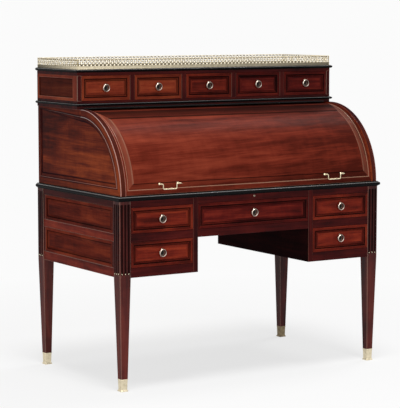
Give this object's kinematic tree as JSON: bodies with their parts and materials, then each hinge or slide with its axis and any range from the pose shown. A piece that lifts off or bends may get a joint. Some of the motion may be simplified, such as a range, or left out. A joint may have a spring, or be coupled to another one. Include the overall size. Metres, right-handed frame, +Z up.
{
  "type": "cylinder desk",
  "caption": "Mahogany cylinder desk on tapering legs: a curved fall over a writing slide, drawers with ring pulls below and above, and a pierced brass gallery.",
  "frame": {"origin": "on the floor under the middle of the desk's overall box", "axes": "+Z up, the sitter's side towards -Y, +X to the sitter's right"},
  "size_m": [1.288, 0.718, 1.31],
  "materials": {
    "mahogany": "french polish",
    "ebonised": "polished black",
    "oak": "bare, waxed",
    "brass": "polished",
    "iron": "blackened",
    "leather": "waxed",
    "marble": "polished"
  },
  "bodies": {
    "carcase": {"front_legs": "mahogany", "back_legs": "mahogany", "leg_sabots": "brass", "flute_tips": "brass", "lower_sides": "mahogany", "pedestal_walls": "mahogany", "front_rails": "mahogany", "drawer_runners": "oak", "key_escutcheon": "brass", "desk_bed": "mahogany", "waist_moulding": "ebonised", "back_boards": "oak", "cheek_left": "mahogany", "cheek_right": "mahogany", "cylinder_pivots": "iron", "letter_rack": "mahogany", "upper_boards": "mahogany", "upper_partitions": "mahogany", "case_mouldings": "ebonised", "marble_top": "marble", "brass_gallery": "brass"},
    "cylinder": {"cylinder_staves": "oak", "cylinder_veneer": "mahogany", "cylinder_band": "mahogany", "cylinder_quadrants": "iron", "bail_posts": "brass"},
    "bail_left": {"bail_left": "brass"},
    "bail_right": {"bail_right": "brass"},
    "writing_slide": {"writing_slide": "mahogany", "slide_leather": "leather"},
    "drawer_left_lower": {"drawer_left_lower": "mahogany", "drawer_left_lower_eye": "brass"},
    "drawer_left_lower_ring": {"drawer_left_lower_ring": "brass"},
    "drawer_left": {"drawer_left": "mahogany", "drawer_left_eye": "brass"},
    "drawer_left_ring": {"drawer_left_ring": "brass"},
    "drawer_middle": {"drawer_middle": "mahogany", "drawer_middle_eye": "brass"},
    "drawer_middle_ring": {"drawer_middle_ring": "brass"},
    "drawer_right": {"drawer_right": "mahogany", "drawer_right_eye": "brass"},
    "drawer_right_ring": {"drawer_right_ring": "brass"},
    "drawer_right_lower": {"drawer_right_lower": "mahogany", "drawer_right_lower_eye": "brass"},
    "drawer_right_lower_ring": {"drawer_right_lower_ring": "brass"},
    "upper_drawer_1": {"upper_drawer_1": "mahogany", "upper_drawer_1_eye": "brass"},
    "upper_drawer_1_ring": {"upper_drawer_1_ring": "brass"},
    "upper_drawer_2": {"upper_drawer_2": "mahogany", "upper_drawer_2_eye": "brass"},
    "upper_drawer_2_ring": {"upper_drawer_2_ring": "brass"},
    "upper_drawer_3": {"upper_drawer_3": "mahogany", "upper_drawer_3_eye": "brass"},
    "upper_drawer_3_ring": {"upper_drawer_3_ring": "brass"},
    "upper_drawer_4": {"upper_drawer_4": "mahogany", "upper_drawer_4_eye": "brass"},
    "upper_drawer_4_ring": {"upper_drawer_4_ring": "brass"},
    "upper_drawer_5": {"upper_drawer_5": "mahogany", "upper_drawer_5_eye": "brass"},
    "upper_drawer_5_ring": {"upper_drawer_5_ring": "brass"}
  },
  "joints": [
    {"name": "cylinder_hinge", "type": "hinge", "parent": "carcase", "child": "cylinder", "pos_m": [0, -0.023, 0.781], "axis": [-1, 0, 0], "range_deg": [0, 72]},
    {"name": "slide_run", "type": "slide", "parent": "carcase", "child": "writing_slide", "axis": [0, -1, 0], "range_m": [0, 0.24]},
    {"name": "bail_left_hinge", "type": "hinge", "parent": "cylinder", "child": "bail_left", "pos_m": [-0.405, -0.351, 0.821], "axis": [-1, 0, 0], "range_deg": [0, 75]},
    {"name": "bail_right_hinge", "type": "hinge", "parent": "cylinder", "child": "bail_right", "pos_m": [0.405, -0.351, 0.821], "axis": [-1, 0, 0], "range_deg": [0, 75]},
    {"name": "drawer_left_lower_run", "type": "slide", "parent": "carcase", "child": "drawer_left_lower", "axis": [0, -1, 0], "range_m": [0, 0.38]},
    {"name": "drawer_left_lower_ring_hinge", "type": "hinge", "parent": "drawer_left_lower", "child": "drawer_left_lower_ring", "pos_m": [-0.44, -0.354, 0.5595], "axis": [-1, 0, 0], "range_deg": [0, 90]},
    {"name": "drawer_left_run", "type": "slide", "parent": "carcase", "child": "drawer_left", "axis": [0, -1, 0], "range_m": [0, 0.38]},
    {"name": "drawer_left_ring_hinge", "type": "hinge", "parent": "drawer_left", "child": "drawer_left_ring", "pos_m": [-0.44, -0.354, 0.6955], "axis": [-1, 0, 0], "range_deg": [0, 90]},
    {"name": "drawer_middle_run", "type": "slide", "parent": "carcase", "child": "drawer_middle", "axis": [0, -1, 0], "range_m": [0, 0.38]},
    {"name": "drawer_middle_ring_hinge", "type": "hinge", "parent": "drawer_middle", "child": "drawer_middle_ring", "pos_m": [0, -0.354, 0.6955], "axis": [-1, 0, 0], "range_deg": [0, 90]},
    {"name": "drawer_right_run", "type": "slide", "parent": "carcase", "child": "drawer_right", "axis": [0, -1, 0], "range_m": [0, 0.38]},
    {"name": "drawer_right_ring_hinge", "type": "hinge", "parent": "drawer_right", "child": "drawer_right_ring", "pos_m": [0.44, -0.354, 0.6955], "axis": [-1, 0, 0], "range_deg": [0, 90]},
    {"name": "drawer_right_lower_run", "type": "slide", "parent": "carcase", "child": "drawer_right_lower", "axis": [0, -1, 0], "range_m": [0, 0.38]},
    {"name": "drawer_right_lower_ring_hinge", "type": "hinge", "parent": "drawer_right_lower", "child": "drawer_right_lower_ring", "pos_m": [0.44, -0.354, 0.5595], "axis": [-1, 0, 0], "range_deg": [0, 90]},
    {"name": "upper_drawer_1_run", "type": "slide", "parent": "carcase", "child": "upper_drawer_1", "axis": [0, -1, 0], "range_m": [0, 0.2]},
    {"name": "upper_drawer_1_ring_hinge", "type": "hinge", "parent": "upper_drawer_1", "child": "upper_drawer_1_ring", "pos_m": [-0.5, -0.006, 1.2045], "axis": [-1, 0, 0], "range_deg": [0, 90]},
    {"name": "upper_drawer_2_run", "type": "slide", "parent": "carcase", "child": "upper_drawer_2", "axis": [0, -1, 0], "range_m": [0, 0.2]},
    {"name": "upper_drawer_2_ring_hinge", "type": "hinge", "parent": "upper_drawer_2", "child": "upper_drawer_2_ring", "pos_m": [-0.25, -0.006, 1.2045], "axis": [-1, 0, 0], "range_deg": [0, 90]},
    {"name": "upper_drawer_3_run", "type": "slide", "parent": "carcase", "child": "upper_drawer_3", "axis": [0, -1, 0], "range_m": [0, 0.2]},
    {"name": "upper_drawer_3_ring_hinge", "type": "hinge", "parent": "upper_drawer_3", "child": "upper_drawer_3_ring", "pos_m": [0, -0.006, 1.2045], "axis": [-1, 0, 0], "range_deg": [0, 90]},
    {"name": "upper_drawer_4_run", "type": "slide", "parent": "carcase", "child": "upper_drawer_4", "axis": [0, -1, 0], "range_m": [0, 0.2]},
    {"name": "upper_drawer_4_ring_hinge", "type": "hinge", "parent": "upper_drawer_4", "child": "upper_drawer_4_ring", "pos_m": [0.25, -0.006, 1.2045], "axis": [-1, 0, 0], "range_deg": [0, 90]},
    {"name": "upper_drawer_5_run", "type": "slide", "parent": "carcase", "child": "upper_drawer_5", "axis": [0, -1, 0], "range_m": [0, 0.2]},
    {"name": "upper_drawer_5_ring_hinge", "type": "hinge", "parent": "upper_drawer_5", "child": "upper_drawer_5_ring", "pos_m": [0.5, -0.006, 1.2045], "axis": [-1, 0, 0], "range_deg": [0, 90]}
  ],
  "couplings": [
    {"joint": "slide_run", "follows": "cylinder_hinge", "m_per_rad": 0.19}
  ]
}
